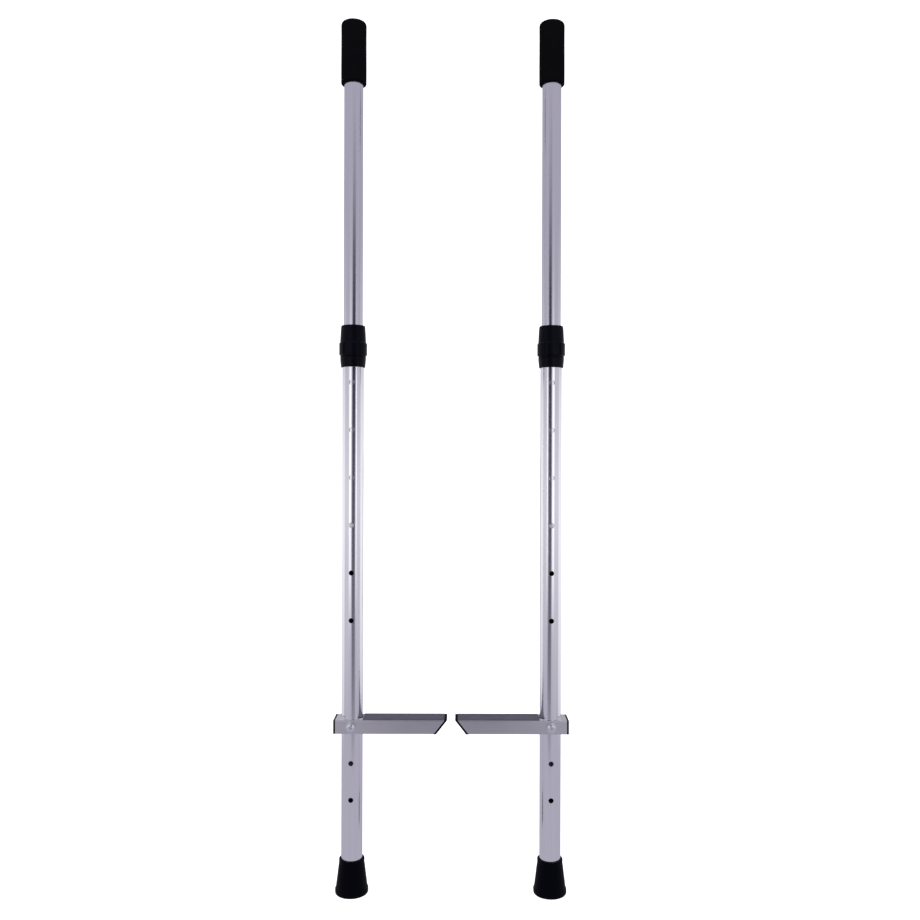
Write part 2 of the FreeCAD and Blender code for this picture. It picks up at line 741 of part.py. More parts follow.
def make_step_tube(side):
    """Step: a rectangular tube with a mitred tip, a round hole for the pole and a cross hole for the bolt."""
    body = new_body(f"{side}_step_tube")
    heel = "size.cap_flange - size.step_heel"
    half_depth, half_height = "size.step_depth / 2", "size.step_height / 2"
    section = sketch_on(body, "section", "YZ_Plane", heel)
    draw_box(section, half_depth, half_height)
    length = f"size.step_tube_tip - ({heel})"
    block = pad(body, "block", section, length)
    long_edge = number(length)
    rounded = round_edges(
        body, "long_edges", block, "size.step_corner", lambda edge: abs(edge.Length - long_edge) < 1e-4
    )
    body.Tip = rounded
    hollow = sketch_on(body, "hollow", "YZ_Plane", heel)
    draw_box(hollow, f"{half_depth} - size.step_wall", f"{half_height} - size.step_wall")
    pocket(body, "hollow_cut", hollow, length, forward=True)
    mitre = sketch_on(body, "mitre", "XZ_Plane")
    draw_outline(
        mitre,
        [
            ("size.step_tube_tip", half_height),
            ("size.step_tube_tip - size.mitre_run", f"-{half_height}"),
            ("size.step_tube_tip", f"-{half_height}"),
        ],
    )
    pocket(body, "mitre_cut", mitre, "2 * size.step_depth", symmetric=True)
    pole = sketch_on(body, "pole_hole", "XY_Plane")
    draw_circle(pole, "size.lower_tube_dia / 2 + size.step_pole_gap")
    pocket(body, "pole_cut", pole, "2 * size.step_height", symmetric=True)
    bolt = sketch_on(body, "bolt_hole", "XZ_Plane")
    draw_circle(bolt, "size.step_bolt_hole_dia / 2")
    pocket(body, "bolt_cut", bolt, "2 * size.step_depth", symmetric=True)
    place_step_piece(body, side)


def place_step_piece(body, side):
    """A step piece is built for the left stilt, its tip at +X, with the bolt's axis through the origin."""
    stand_on_pole(body, side, turned=side == "right")
    body.setExpression(".Placement.Base.z", "size.step_hole_top")


def make_heel_cap(side):
    """Plastic cap in the step's blunt end: a flange and a hollow insert that stops short of the pole."""
    body = new_body(f"{side}_step_heel_cap")
    flange = sketch_on(body, "flange", "YZ_Plane", "-size.step_heel")
    draw_box(flange, "size.step_depth / 2", "size.step_height / 2")
    plate = pad(body, "plate", flange, "size.cap_flange")
    thickness = number("size.cap_flange")
    round_edges(
        body, "corners", plate, "size.step_corner", lambda edge: abs(edge.Length - thickness) < 1e-4
    )
    insert = sketch_on(body, "insert", "YZ_Plane", "size.cap_flange - size.step_heel")
    margin = "(size.step_wall + size.cap_insert_gap)"
    draw_box(insert, f"size.step_depth / 2 - {margin}", f"size.step_height / 2 - {margin}")
    hollow = f"({margin} + size.cap_insert_wall)"
    draw_box(insert, f"size.step_depth / 2 - {hollow}", f"size.step_height / 2 - {hollow}")
    reach = "size.step_heel - size.cap_flange - size.lower_tube_dia / 2 - size.cap_pole_gap"
    pad(body, "socket", insert, reach)
    place_step_piece(body, side)


def make_tip_cap(side):
    """Plastic cap in the step's mitred tip: a sloping flange and a hollow insert."""
    body = new_body(f"{side}_step_tip_cap")
    half = "size.step_height / 2"
    flange = sketch_on(body, "flange", "XZ_Plane")
    draw_outline(
        flange,
        [
            ("size.step_tube_tip", half),
            ("size.step_tube_tip - size.mitre_run", f"-{half}"),
            ("size.step_reach - size.mitre_run", f"-{half}"),
            ("size.step_reach", half),
        ],
    )
    plate = pad(body, "plate", flange, "size.step_depth", symmetric=True)
    sloping = number("size.step_height * sqrt(1 + size.mitre_slope ^ 2)")
    tip = number("size.step_reach")

    def on_outer_face(edge):
        """The outer face's two long sloping edges."""
        top_end = max(edge.Vertexes, key=lambda corner: corner.Point.z).Point
        return abs(edge.Length - sloping) < 1e-4 and abs(top_end.x - tip) < 1e-4

    round_edges(body, "corners", plate, "size.step_corner / 2", on_outer_face)
    margin = "size.step_wall + size.cap_insert_gap"
    top, bottom = f"{half} - ({margin})", f"-({half} - ({margin}))"
    upper_end = f"size.step_tube_tip - ({margin}) * size.mitre_slope"
    lower_end = f"size.step_tube_tip - size.mitre_run + ({margin}) * size.mitre_slope"
    insert = sketch_on(body, "insert", "XZ_Plane")
    draw_outline(
        insert,
        [
            (f"{upper_end}", top),
            (f"{lower_end}", bottom),
            (f"{lower_end} - size.mitre_insert", bottom),
            (f"{upper_end} - size.mitre_insert", top),
        ],
    )
    pad(body, "block", insert, f"size.step_depth - 2 * ({margin})", symmetric=True)
    hollow = sketch_on(body, "hollow", "XZ_Plane")
    wall = "size.cap_insert_wall"
    draw_outline(
        hollow,
        [
            (f"{upper_end} - {wall}", f"{top} - {wall}"),
            (f"{lower_end} - {wall}", f"{bottom} + {wall}"),
            (f"{lower_end} - 2 * size.mitre_insert", f"{bottom} + {wall}"),
            (f"{upper_end} - 2 * size.mitre_insert", f"{top} - {wall}"),
        ],
    )
    pocket(body, "hollow_cut", hollow, f"size.step_depth - 2 * ({margin} + {wall})", symmetric=True)
    place_step_piece(body, side)


def make_tread(side):
    """Thin non-slip strip on the step's top, from the pole to the mitred tip."""
    body = new_body(f"{side}_tread")
    strip = sketch_on(body, "strip", "XY_Plane", "size.step_height / 2")
    start = "size.lower_tube_dia / 2 + size.step_pole_gap + size.tread_strip_gap"
    half = "size.tread_strip_depth / 2"
    draw_outline(
        strip,
        [(start, f"-{half}"), ("size.step_tube_tip", f"-{half}"), ("size.step_tube_tip", half), (start, half)],
    )
    pad(body, "rubber", strip, "size.tread_strip_thick")
    place_step_piece(body, side)


# ---------------------------------------------------------------- cross bolt


def make_bolt(side):
    """Bolt through the step and the pole, with a domed head and a cross recess. Its thread is left plain."""
    body = new_body(f"{side}_bolt")
    face = "(size.head_seat + size.bolt_head_thick)"
    edge = "(size.head_seat + size.bolt_head_edge)"
    shoulder = "(size.bolt_head_dia * 0.36 + size.bolt_crown_dia * 0.14)"
    dome = revolve(
        body,
        "head",
        [
            ("0", "size.head_seat"),
            ("size.bolt_head_dia / 2", "size.head_seat"),
            ("size.bolt_head_dia / 2", edge),
            (shoulder, f"{edge} * 0.3 + {face} * 0.7"),
            ("size.bolt_crown_dia / 2", face),
            ("0", face),
        ],
    )
    body.Tip = dome
    cross = sketch_on(body, "cross", "XY_Plane", face)
    long_bar, thin_bar = "size.cross_length / 2", "size.cross_width / 2"
    draw_outline(
        cross,
        [
            (long_bar, f"-{thin_bar}"),
            (long_bar, thin_bar),
            (thin_bar, thin_bar),
            (thin_bar, long_bar),
            (f"-{thin_bar}", long_bar),
            (f"-{thin_bar}", thin_bar),
            (f"-{long_bar}", thin_bar),
            (f"-{long_bar}", f"-{thin_bar}"),
            (f"-{thin_bar}", f"-{thin_bar}"),
            (f"-{thin_bar}", f"-{long_bar}"),
            (thin_bar, f"-{long_bar}"),
            (thin_bar, f"-{thin_bar}"),
        ],
    )
    pocket(body, "cross_cut", cross, "size.cross_depth")
    shank = sketch_on(body, "shank_circle", "XY_Plane", "size.head_seat - size.bolt_len")
    draw_circle(shank, "size.bolt_dia / 2")
    rod = pad(body, "shank", shank, "size.bolt_len")
    chamfer_edges(
        body,
        "tip",
        rod,
        "size.bolt_tip_chamfer",
        is_ring("size.bolt_dia / 2", "size.head_seat - size.bolt_len"),
    )
    face_forward(body, side, "size.step_hole_top")


def make_washer(side, where, start):
    body = new_body(f"{side}_washer_{where}")
    sketch = sketch_on(body, "ring", "XY_Plane", start)
    draw_circle(sketch, "size.washer_dia / 2")
    draw_circle(sketch, "size.washer_bore / 2")
    pad(body, "washer", sketch, "size.washer_thick")
    face_forward(body, side, "size.step_hole_top")


def make_wing_nut(side):
    """Wing nut at the back of the step: a tapered hub with two upswept wings."""
    body = new_body(f"{side}_wing_nut")
    seat = "-size.head_seat"
    end = "-size.head_seat - size.wing_nut_height"
    bore = "size.bolt_dia / 2 + size.wing_bore_gap"
    revolve(
        body,
        "hub",
        [
            (bore, seat),
            ("size.wing_base_dia / 2", seat),
            ("size.wing_neck_dia / 2", end),
            (bore, end),
        ],
    )
    wing = sketch_on(body, "wing", "XZ_Plane")
    draw_outline(
        wing,
        [
            ("size.bolt_dia / 2 + 1", f"{seat} - 1"),
            ("size.wing_base_dia / 2", f"{seat} - 1"),
            ("size.wing_span / 2", f"{seat} - size.wing_lift - 2"),
            ("size.wing_span / 2", f"{end} - size.wing_rise"),
            ("size.wing_span / 2 - 2 * size.wing_tip_round", f"{end} - size.wing_rise"),
            ("size.bolt_dia / 2 + 1", f"{end} + 1"),
        ],
    )
    blade = pad(body, "blade", wing, "size.wing_thick", symmetric=True)
    reach, tip = number("size.wing_span / 2"), number(f"{end} - size.wing_rise")

    def at_wing_tip(edge):
        """The two short edges across the wing's outer end, at its tip."""
        ends = [corner.Point for corner in edge.Vertexes]
        across = abs(edge.Length - number("size.wing_thick")) < 1e-4
        near = all(abs(p.x) > reach - 7 and abs(p.z - tip) < 1e-4 for p in ends)
        return across and near

    rounded = round_edges(body, "tip_round", blade, "size.wing_tip_round - 0.1", at_wing_tip)
    body.Tip = rounded
    mirrored = body.newObject("PartDesign::PolarPattern", "both_wings")
    mirrored.Originals = [blade, rounded]
    mirrored.Axis = ([f for f in body.Origin.OriginFeatures if f.Role == "Z_Axis"][0], [""])
    mirrored.Angle = 360
    mirrored.Occurrences = 2
    body.Tip = mirrored
    document.recompute()
    face_forward(body, side, "size.step_hole_top")


# ---------------------------------------------------------------- build and write


def make_stilt(side):
    make_foot(side)
    make_foot_washer(side)
    make_lower_tube(side)
    make_upper_tube(side)
    make_end_plug(side)
    make_grip(side)
    make_collar_body(side)
    make_collet(side)
    make_collar_nut(side)
    make_snap_button(side)
    make_snap_spring(side)
    make_step_tube(side)
    make_heel_cap(side)
    make_tip_cap(side)
    make_tread(side)
    make_bolt(side)
    make_washer(side, "front", "size.washer_seat")
    make_washer(side, "back", "-size.head_seat")
    make_wing_nut(side)


def check_and_write():
    """Stops if anything in the document failed, then writes each body to a STEP file named by its label."""
    document.recompute()
    failed = [o.Label for o in document.Objects if "Invalid" in o.State or "Error" in o.State]
    if failed:
        raise ValueError(f"these objects did not compute: {failed}")
    bodies = [o for o in document.Objects if o.TypeId == "PartDesign::Body"]
    for body in bodies:
        if body.Shape.isNull() or not body.Shape.isValid() or len(body.Shape.Solids) != 1:
            raise ValueError(f"{body.Label} is not one valid solid")
    os.makedirs("parts", exist_ok=True)
    for body in bodies:
        body.Shape.exportStep(f"parts/{body.Label}.step")
        box = body.Shape.BoundBox
        print(f"{body.Label}: {box.XLength:.1f} x {box.YLength:.1f} x {box.ZLength:.1f} mm")


for name in SIDES:
    make_stilt(name)
check_and_write()
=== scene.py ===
# %% [markdown]
# # A pair of walking stilts
# Two aluminium poles, each with a rubber foot, a step, a twist lock and a foam grip. The CAD model already gives
# the tubes and small hardware their shape and place, so this lesson keeps them and gives them a finish. The foot,
# grip, twist lock and step bolt are made again here in finer detail, exactly where the CAD model has them.
# Everything is in metres.

import math
from types import SimpleNamespace

import bmesh
import bpy
from mathutils import Matrix, Vector


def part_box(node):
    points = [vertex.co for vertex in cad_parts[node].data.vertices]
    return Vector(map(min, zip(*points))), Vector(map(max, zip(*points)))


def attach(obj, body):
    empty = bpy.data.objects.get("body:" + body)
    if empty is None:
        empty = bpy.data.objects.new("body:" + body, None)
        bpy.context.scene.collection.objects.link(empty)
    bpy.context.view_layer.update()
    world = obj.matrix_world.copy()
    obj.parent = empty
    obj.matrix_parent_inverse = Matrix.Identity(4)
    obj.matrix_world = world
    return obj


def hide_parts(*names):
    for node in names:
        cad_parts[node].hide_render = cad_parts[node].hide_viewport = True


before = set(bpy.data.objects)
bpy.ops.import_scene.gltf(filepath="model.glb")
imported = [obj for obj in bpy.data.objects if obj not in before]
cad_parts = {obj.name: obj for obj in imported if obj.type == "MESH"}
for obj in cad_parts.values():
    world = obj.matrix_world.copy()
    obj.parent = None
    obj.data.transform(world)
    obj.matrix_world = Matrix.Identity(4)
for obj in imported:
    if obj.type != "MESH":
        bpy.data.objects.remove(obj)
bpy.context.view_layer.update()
SIDES = ("left", "right")

# %% [markdown]
# ## Sums on sockets
# A procedural finish is mostly arithmetic: scale a noise, shift it, add it to a roughness. Wiring Math nodes by
# hand hides that, so a small class wraps one socket and lets Python's own operators add the nodes. The reflected
# forms make `1 - mask` work as well as `mask - 1`.


# %% A socket that can be added and multiplied
class Wire:
    """One output socket in a finish."""

    def __init__(self, finish, socket):
        self.finish = finish
        self.socket = socket

    def _sum(self, operation, first, second):
        return self.finish.node("ShaderNodeMath", {"operation": operation}, {0: first, 1: second})

    def __add__(self, other):
        return self._sum("ADD", self, other)

    def __radd__(self, other):
        return self._sum("ADD", other, self)

    def __sub__(self, other):
        return self._sum("SUBTRACT", self, other)

    def __rsub__(self, other):
        return self._sum("SUBTRACT", other, self)

    def __mul__(self, other):
        return self._sum("MULTIPLY", self, other)

    def __rmul__(self, other):
        return self._sum("MULTIPLY", other, self)


# %% [markdown]
# ## A node tree and a finish
# `Tree` adds any node through a single method: its kind, its settings, then the values or links of its sockets.
# Every finish here is one Principled shader with a few textures in front of it, so `Finish` starts from that
# shader. It has short names for what each finish asks for: where on the part we are, and a noise stretched along
# one direction.


# %% A material's node tree
class Tree:
    """A material and the nodes that make it."""

    def __init__(self, name):
        self.material = bpy.data.materials.new(name)
        self.material.use_nodes = True
        self.nodes = self.material.node_tree.nodes

    def node(self, kind, settings=None, sockets=None, output=0):
        """Adds a node: its settings first, then the values or links of its sockets. Returns one output."""
        made = self.nodes.new(kind)
        for setting, value in (settings or {}).items():
            if setting == "stops":
                ramp = made.color_ramp.elements
                while len(ramp) < len(value):
                    ramp.new(0.5)
                for stop, (place, colour) in zip(ramp, value):
                    stop.position, stop.color = place, colour
            else:
                setattr(made, setting, value)
        for socket, value in (sockets or {}).items():
            self.put(made.inputs[socket], value)
        return None if output is None else Wire(self, made.outputs[output])

    def put(self, socket, value):
        if isinstance(value, Wire):
            self.material.node_tree.links.new(value.socket, socket)
        else:
            socket.default_value = value


# %% A Principled material
class Finish(Tree):
    """A Principled material. Even values are set on its sockets, and textures are linked to them."""

    def __init__(self, name, **even):
        super().__init__(name)
        self.shader = next(n for n in self.nodes if n.type == "BSDF_PRINCIPLED")
        self.feed(**even)

    def feed(self, **linked):
        """Sets the shader's own sockets, or links textures to them."""
        for socket, value in linked.items():
            self.put(self.shader.inputs[socket.replace("_", " ")], value)

    def place(self, stretch=(1, 1, 1)):
        """The point on the part, in metres, times a stretch along each axis."""
        here = self.node("ShaderNodeTexCoord", output="Object")
        return self.node("ShaderNodeVectorMath", {"operation": "MULTIPLY"}, {0: here, 1: stretch})

    def noise(self, stretch, detail=2.0, roughness=0.5):
        """Noise whose grains are 1 / stretch metres across on each axis. It averages a half."""
        sockets = {"Vector": self.place(stretch), "Scale": 1.0, "Detail": detail, "Roughness": roughness}
        return self.node("ShaderNodeTexNoise", {}, sockets)

    def height(self):
        """How high on the part we are, in metres."""
        return self.node("ShaderNodeSeparateXYZ", {}, {0: self.place()}, output="Z")

    def between(self, value, low, high):
        """0 at low, 1 at high, and limited to that range."""
        sockets = {"Value": value, "From Min": low, "From Max": high}
        return self.node("ShaderNodeMapRange", {"clamp": True}, sockets)

    def colours(self, mask, first, second):
        """The first colour where the mask is 0, and the second where it is 1."""
        sockets = {0: mask, 6: (*first, 1), 7: (*second, 1)}
        return self.node("ShaderNodeMix", {"data_type": "RGBA"}, sockets, output=2)

    def bump(self, relief, depth, strength=1.0):
        """Surface relief of that depth in metres."""
        sockets = {"Height": relief, "Distance": depth, "Strength": strength}
        self.feed(Normal=self.node("ShaderNodeBump", {}, sockets))


# %% [markdown]
# ## Aluminium tube
# Drawn tube keeps faint lines along its length from the die, and anodising turns it slightly milky, with a cool
# violet cast. Stretching a noise along Z gives the lines: 1 mm apart round the tube but 15 cm long. They change
# the roughness a little, which is what makes the reflections of a real tube look streaked rather than perfect.


# %% Drawn and anodised tube
def make_drawn_tube(name, dark, light, roughness):
    tube = Finish(name, Metallic=1.0)
    fine = tube.noise((900, 900, 7), detail=3)
    broad = tube.noise((260, 260, 2.5), detail=1)
    cloud = tube.noise((30, 30, 12), detail=2)
    tube.feed(Base_Color=tube.colours(0.55 * fine + 0.45 * broad, dark, light))
    tube.feed(Roughness=roughness + 0.1 * (broad - 0.5) + 0.07 * (fine - 0.5) + 0.05 * (cloud - 0.5))
    tube.bump(0.6 * fine + 0.4 * broad, 0.00004, 0.35)
    return tube


bright_tube = make_drawn_tube("tube_bright", (0.80, 0.79, 0.86), (0.93, 0.92, 0.97), 0.15)
satin_tube = make_drawn_tube("tube_satin", (0.74, 0.73, 0.80), (0.86, 0.85, 0.91), 0.2)
print("tube finishes:", bright_tube.material.name, satin_tube.material.name)

# %% [markdown]
# ## The step's aluminium
# The step is extruded box section, left as it was cut and brushed along its length. It is duller than the poles, so
# its reflections spread into plain grey. The grain runs along X here.

# %% Brushed box section
brushed_step = Finish("step_brushed", Metallic=1.0)
grain = brushed_step.noise((9, 1500, 1500), detail=4, roughness=0.6)
patches = brushed_step.noise((40, 60, 60), detail=3)
STEP_DARK, STEP_LIGHT = (0.60, 0.585, 0.63), (0.76, 0.745, 0.79)
brushed_step.feed(Base_Color=brushed_step.colours(0.7 * grain + 0.3 * patches, STEP_DARK, STEP_LIGHT))
brushed_step.feed(Roughness=0.34 + 0.16 * (grain - 0.5) + 0.1 * (patches - 0.5))
brushed_step.bump(grain, 0.00006, 0.5)
print("step finish:", brushed_step.material.name)

# %% [markdown]
# ## Fasteners and spring steel
# Zinc plate is bright but uneven: the crystals of the plating reflect in patches. Cells of a Voronoi texture give
# each patch its own brightness. The snap button and its spring are stainless steel, which has a finer, even polish.

# %% Zinc plate and stainless steel
zinc_plate = Finish("zinc_plate", Metallic=1.0)
crystals = zinc_plate.node(
    "ShaderNodeTexVoronoi", {"feature": "SMOOTH_F1"}, {"Vector": zinc_plate.place((1100,) * 3), "Scale": 1.0}
)
zinc_haze = zinc_plate.noise((300, 300, 300), detail=3)
zinc_plate.feed(Base_Color=zinc_plate.colours(crystals, (0.92, 0.93, 0.96), (0.62, 0.64, 0.70)))
zinc_plate.feed(Roughness=0.18 + 0.12 * zinc_haze + 0.08 * crystals)
zinc_plate.bump(zinc_haze, 0.00003, 0.4)

stainless = Finish("stainless_steel", Metallic=1.0)
polish = stainless.noise((2500, 2500, 400), detail=2)
stainless.feed(Base_Color=stainless.colours(polish, (0.72, 0.71, 0.72), (0.90, 0.89, 0.90)))
stainless.feed(Roughness=0.16 + 0.14 * polish)
stainless.bump(polish, 0.00002, 0.3)
print("steel finishes:", zinc_plate.material.name, stainless.material.name)

# %% [markdown]
# ## Black plastic, rubber and foam
# Blacks that differ only in how they scatter light. The moulded nylon of the twist lock has a fine spark-eroded
# grain and a soft sheen. The foot's rubber is duller and picks up a trace of dust at the sole. The strip on the step
# is black rubber given a painted violet-grey sheen, which wear varies at random. The foam's skin is full of pores,
# and its colour is painted darker in each pore's pit as painted shade, so it is the darkest.

# %% Moulded plastic
moulded_plastic = Finish("moulded_plastic", Specular_IOR_Level=0.08)
spark_grain = moulded_plastic.noise((3200, 3200, 3200), detail=2)
flow = moulded_plastic.noise((70, 70, 25), detail=2)
moulded_plastic.feed(Base_Color=moulded_plastic.colours(flow, (0.0005, 0.0006, 0.0024), (0.0018, 0.0019, 0.0046)))
moulded_plastic.feed(Roughness=0.3 + 0.12 * spark_grain + 0.1 * (flow - 0.5))
moulded_plastic.bump(spark_grain, 0.00005, 0.5)

# %% Rubber with a dusty sole
foot_rubber = Finish("foot_rubber", Specular_IOR_Level=0.05)
rubber_grain = foot_rubber.noise((1500, 1500, 1500), detail=3)
smudge = foot_rubber.noise((90, 90, 60), detail=4, roughness=0.65)
near_floor = 1 - foot_rubber.between(foot_rubber.height(), 0.0, 0.006)
dust = foot_rubber.between(smudge + 0.5 * near_floor, 0.72, 1.1)
foot_rubber.feed(Base_Color=foot_rubber.colours(dust, (0.0003, 0.0004, 0.0022), (0.009, 0.0088, 0.01)))
foot_rubber.feed(Roughness=0.42 + 0.12 * rubber_grain + 0.25 * dust)
foot_rubber.bump(rubber_grain, 0.00008, 0.6)

# %% Non-slip strip
strip_rubber = Finish("strip_rubber", Specular_IOR_Level=0.5)
weave = strip_rubber.noise((1700, 1700, 1700), detail=3, roughness=0.6)
wear_and_sheen = strip_rubber.noise((60, 160, 60), detail=3)
# Painted sheen: the violet-grey colour stands in for the sheen of black rubber at a grazing angle, and the wear noise
# varies it at random.
strip_rubber.feed(Base_Color=strip_rubber.colours(wear_and_sheen, (0.045, 0.042, 0.062), (0.085, 0.08, 0.11)))
strip_rubber.feed(Roughness=0.46 + 0.2 * weave)
strip_rubber.bump(weave, 0.00012, 0.8)

# %% Closed-cell foam
grip_foam = Finish("grip_foam", Specular_IOR_Level=0.03)
pores = grip_foam.node(
    "ShaderNodeTexVoronoi", {"feature": "F1"}, {"Vector": grip_foam.place((1400,) * 3), "Scale": 1.0}
)
skin = grip_foam.noise((420, 420, 420), detail=4, roughness=0.6)
creases = grip_foam.noise((60, 60, 140), detail=3)
# Painted shade: the colour is darker in the pits of the pores, where shade falls, and the skin noise varies it at
# random.
foam_tone_with_pore_shade = grip_foam.colours(0.5 * skin + 0.5 * pores, (0.0004, 0.0004, 0.0008), (0.0045, 0.0045, 0.0052))
grip_foam.feed(Base_Color=foam_tone_with_pore_shade)
grip_foam.feed(Roughness=0.82 + 0.14 * skin)
grip_foam.bump(0.55 * pores + 0.3 * skin + 0.15 * creases, 0.0004, 0.8)
print("darks:", [dark.material.name for dark in (moulded_plastic, foot_rubber, strip_rubber, grip_foam)])

# %% [markdown]
# ## Turning shapes on a lathe
# Feet, grips and collars are all round. One helper spins an outline round the pole. The outline is a list of
# (radius, height) pairs, and `round_corners` first swaps its sharp corners for small arcs, because nothing moulded
# has a truly sharp edge, and it is the arc that catches the light.


# %% Round an outline's corners
def round_corners(outline, radii, steps=5):
    """Swaps each corner that has a radius for an arc. A radius of 0 keeps the corner."""
    points = [Vector(p) for p in outline]
    rounded = []
    for i, corner in enumerate(points):
        before, after = points[i - 1], points[(i + 1) % len(points)]
        towards, away = (before - corner), (after - corner)
        radius = radii[i]
        angle = towards.angle(away) if radius else math.pi
        if radius == 0 or angle > 3.1:
            rounded.append(corner)
            continue
        cut = min(radius / math.tan(angle / 2), 0.45 * towards.length, 0.45 * away.length)
        start, end = corner + towards.normalized() * cut, corner + away.normalized() * cut
        for k in range(steps + 1):
            t = k / steps
            rounded.append((1 - t) ** 2 * start + 2 * t * (1 - t) * corner + t**2 * end)
    return rounded


# %% Spin an outline round the pole
def show_smooth(piece, angle=40):
    """Smooth shading, with edges sharper than the angle kept crisp."""
    piece.data.polygons.foreach_set("use_smooth", [True] * len(piece.data.polygons))
    mesh = bmesh.new()
    mesh.from_mesh(piece.data)
    for edge in mesh.edges:
        edge.smooth = len(edge.link_faces) == 2 and edge.calc_face_angle() < math.radians(angle)
    mesh.to_mesh(piece.data)
    mesh.free()


def finish_mesh(name, mesh, material):
    bmesh.ops.remove_doubles(mesh, verts=mesh.verts, dist=1e-6)
    bmesh.ops.recalc_face_normals(mesh, faces=mesh.faces)
    data = bpy.data.meshes.new(name)
    mesh.to_mesh(data)
    mesh.free()
    data.materials.append(material)
    piece = bpy.data.objects.new(name, data)
    bpy.context.scene.collection.objects.link(piece)
    return piece


def turn(name, outline, material, axis_x, segments=96, shape=None):
    """A closed outline spun round Z at the given x. shape(radius, angle, height) may change a radius."""
    mesh = bmesh.new()
    rings = []
    for k in range(segments):
        angle = 2 * math.pi * k / segments
        ring = []
        for radius, height in outline:
            r = shape(radius, angle, height) if shape else radius
            ring.append(mesh.verts.new((axis_x + r * math.cos(angle), r * math.sin(angle), height)))
        rings.append(ring)
    for k, ring in enumerate(rings):
        following = rings[(k + 1) % segments]
        for i in range(len(ring)):
            j = (i + 1) % len(ring)
            corners = [ring[i], following[i], following[j], ring[j]]
            if outline[i][0] < 1e-6:
                corners.remove(following[i])
            if outline[j][0] < 1e-6:
                corners.remove(following[j])
            if len(corners) > 2:
                mesh.faces.new(corners)
    return finish_mesh(name, mesh, material)


# %% [markdown]
# ## Where things are
# Every size below comes from the CAD model's own boxes, so the detailed pieces fit however the model is scaled.


# %% Measure the parts that get replaced
MEASURED = ("foot", "foot_washer", "lower_tube", "upper_tube", "end_plug", "grip", "collar_body", "collar_nut")


def measure(side):
    """The boxes of one stilt's parts that the detailed pieces need."""
    low, high = {}, {}
    for part in MEASURED:
        low[part], high[part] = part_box(f"{side}_{part}")
    centre = (low["lower_tube"].x + high["lower_tube"].x) / 2
    return SimpleNamespace(low=low, high=high, x=centre)


def radius_of(at, part):
    return (at.high[part].y - at.low[part].y) / 2


stilts = {side: measure(side) for side in SIDES}
for side, at in stilts.items():
    print(side, "pole at x =", round(at.x, 4), "foot radius", round(radius_of(at, "foot"), 4))

# %% [markdown]
# ## Foam grip
# The grip is a dipped foam sleeve with a closed, rounded end. Its skin is never quite straight: a hand leaves it a
# little fuller in some places. A slow ripple of a tenth of a millimetre breaks the perfect outline, and the pores
# come from the finish.


# %% Make the grips
FOAM_RIPPLE = 0.0001


def make_grip(side):
    at = stilts[side]
    low, high = at.low["grip"].z, at.high["grip"].z
    outer = radius_of(at, "grip")
    bore = radius_of(at, "upper_tube") + 0.0001
    ceiling = at.high["end_plug"].z + 0.0001
    corners = [(bore, low + 0.0004), (outer, low), (outer, low + 0.02), (outer, (low + high) / 2)]
    corners += [(outer, high - 0.02), (outer, high), (0, high - 0.0002), (0, ceiling), (bore, ceiling)]
    outline = round_corners(corners, [0.0006, 0.003, 0, 0, 0, 0.0052, 0, 0, 0.0005], steps=9)

    def swell(radius, angle, height):
        if radius < outer - 0.004:
            return radius
        slow = math.sin(2 * angle + 1.3) * math.sin(math.pi * (height - low) / (high - low) * 2.2)
        return radius - 0.00012 + FOAM_RIPPLE * slow

    sleeve = turn(f"{side}_foam_grip", outline, grip_foam.material, at.x, 128, swell)
    show_smooth(sleeve, 50)
    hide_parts(f"{side}_grip")
    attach(sleeve, f"{side}_upper_pole")
    return sleeve


for side in SIDES:
    grip = make_grip(side)
    print(grip.name, len(grip.data.vertices), "vertices")

# %% [markdown]
# ## Rubber foot
# A crutch-style foot: a flared cup with a thick sole. Real ones have a rolled lip at the mouth, a shallow line
# where the sole starts, ring grooves under the sole for grip, and a faint seam where the mould closed.


# %% Make the feet
FOOT_MOUTH_RADIUS = 0.0175
SOLE_GROOVES = (0.007, 0.0116, 0.0162)
SOLE_GROOVE_DEPTH = 0.0015
SEAM_HEIGHT = 0.00022
PRESS_GAP = 0.00008


def make_foot(side):
    at = stilts[side]
    base, top = radius_of(at, "foot"), FOOT_MOUTH_RADIUS
    height = at.high["foot"].z
    socket = radius_of(at, "lower_tube") + PRESS_GAP
    floor = at.low["foot_washer"].z - 0.00005
    corners = [(0, 0)]
    for inner in SOLE_GROOVES:
        corners += [(inner, 0), (inner + 0.0003, SOLE_GROOVE_DEPTH)]
        corners += [(inner + 0.0019, SOLE_GROOVE_DEPTH), (inner + 0.0022, 0)]
    rounding = [0] + [0.0004, 0.0003, 0.0003, 0.0004] * len(SOLE_GROOVES)

    def flare(z):
        return base - 0.0008 + (top - base) * max(0.0, z - 0.006) / (height - 0.006)

    corners += [(base, 0), (base, 0.0062), (base - 0.0006, 0.0068)]
    corners += [(base - 0.0006, 0.0076), (flare(0.0082), 0.0082)]
    rounding += [0.0036, 0.0006, 0.0003, 0.0003, 0.0006]
    corners += [(flare(0.022), 0.022), (flare(0.037) + 0.0001, 0.037), (flare(0.0425), 0.0425), (top, 0.0438)]
    rounding += [0.01, 0.01, 0.0006, 0.0008]
    corners += [(top, height), (socket, height), (socket, floor), (0, floor)]
    rounding += [0.0013, 0.0006, 0.0005, 0]
    outline = round_corners(corners, rounding, steps=5)

    def seam(radius, angle, z):
        near = abs(math.sin(angle)) ** 1500
        rises = 0.0 if z < 0.003 or z > height - 0.003 or radius < socket + 0.002 else 1.0
        return radius + SEAM_HEIGHT * near * rises

    cup = turn(f"{side}_rubber_foot", outline, foot_rubber.material, at.x, 144, seam)
    show_smooth(cup, 35)
    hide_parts(f"{side}_foot")
    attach(cup, f"{side}_stilt")
    return cup


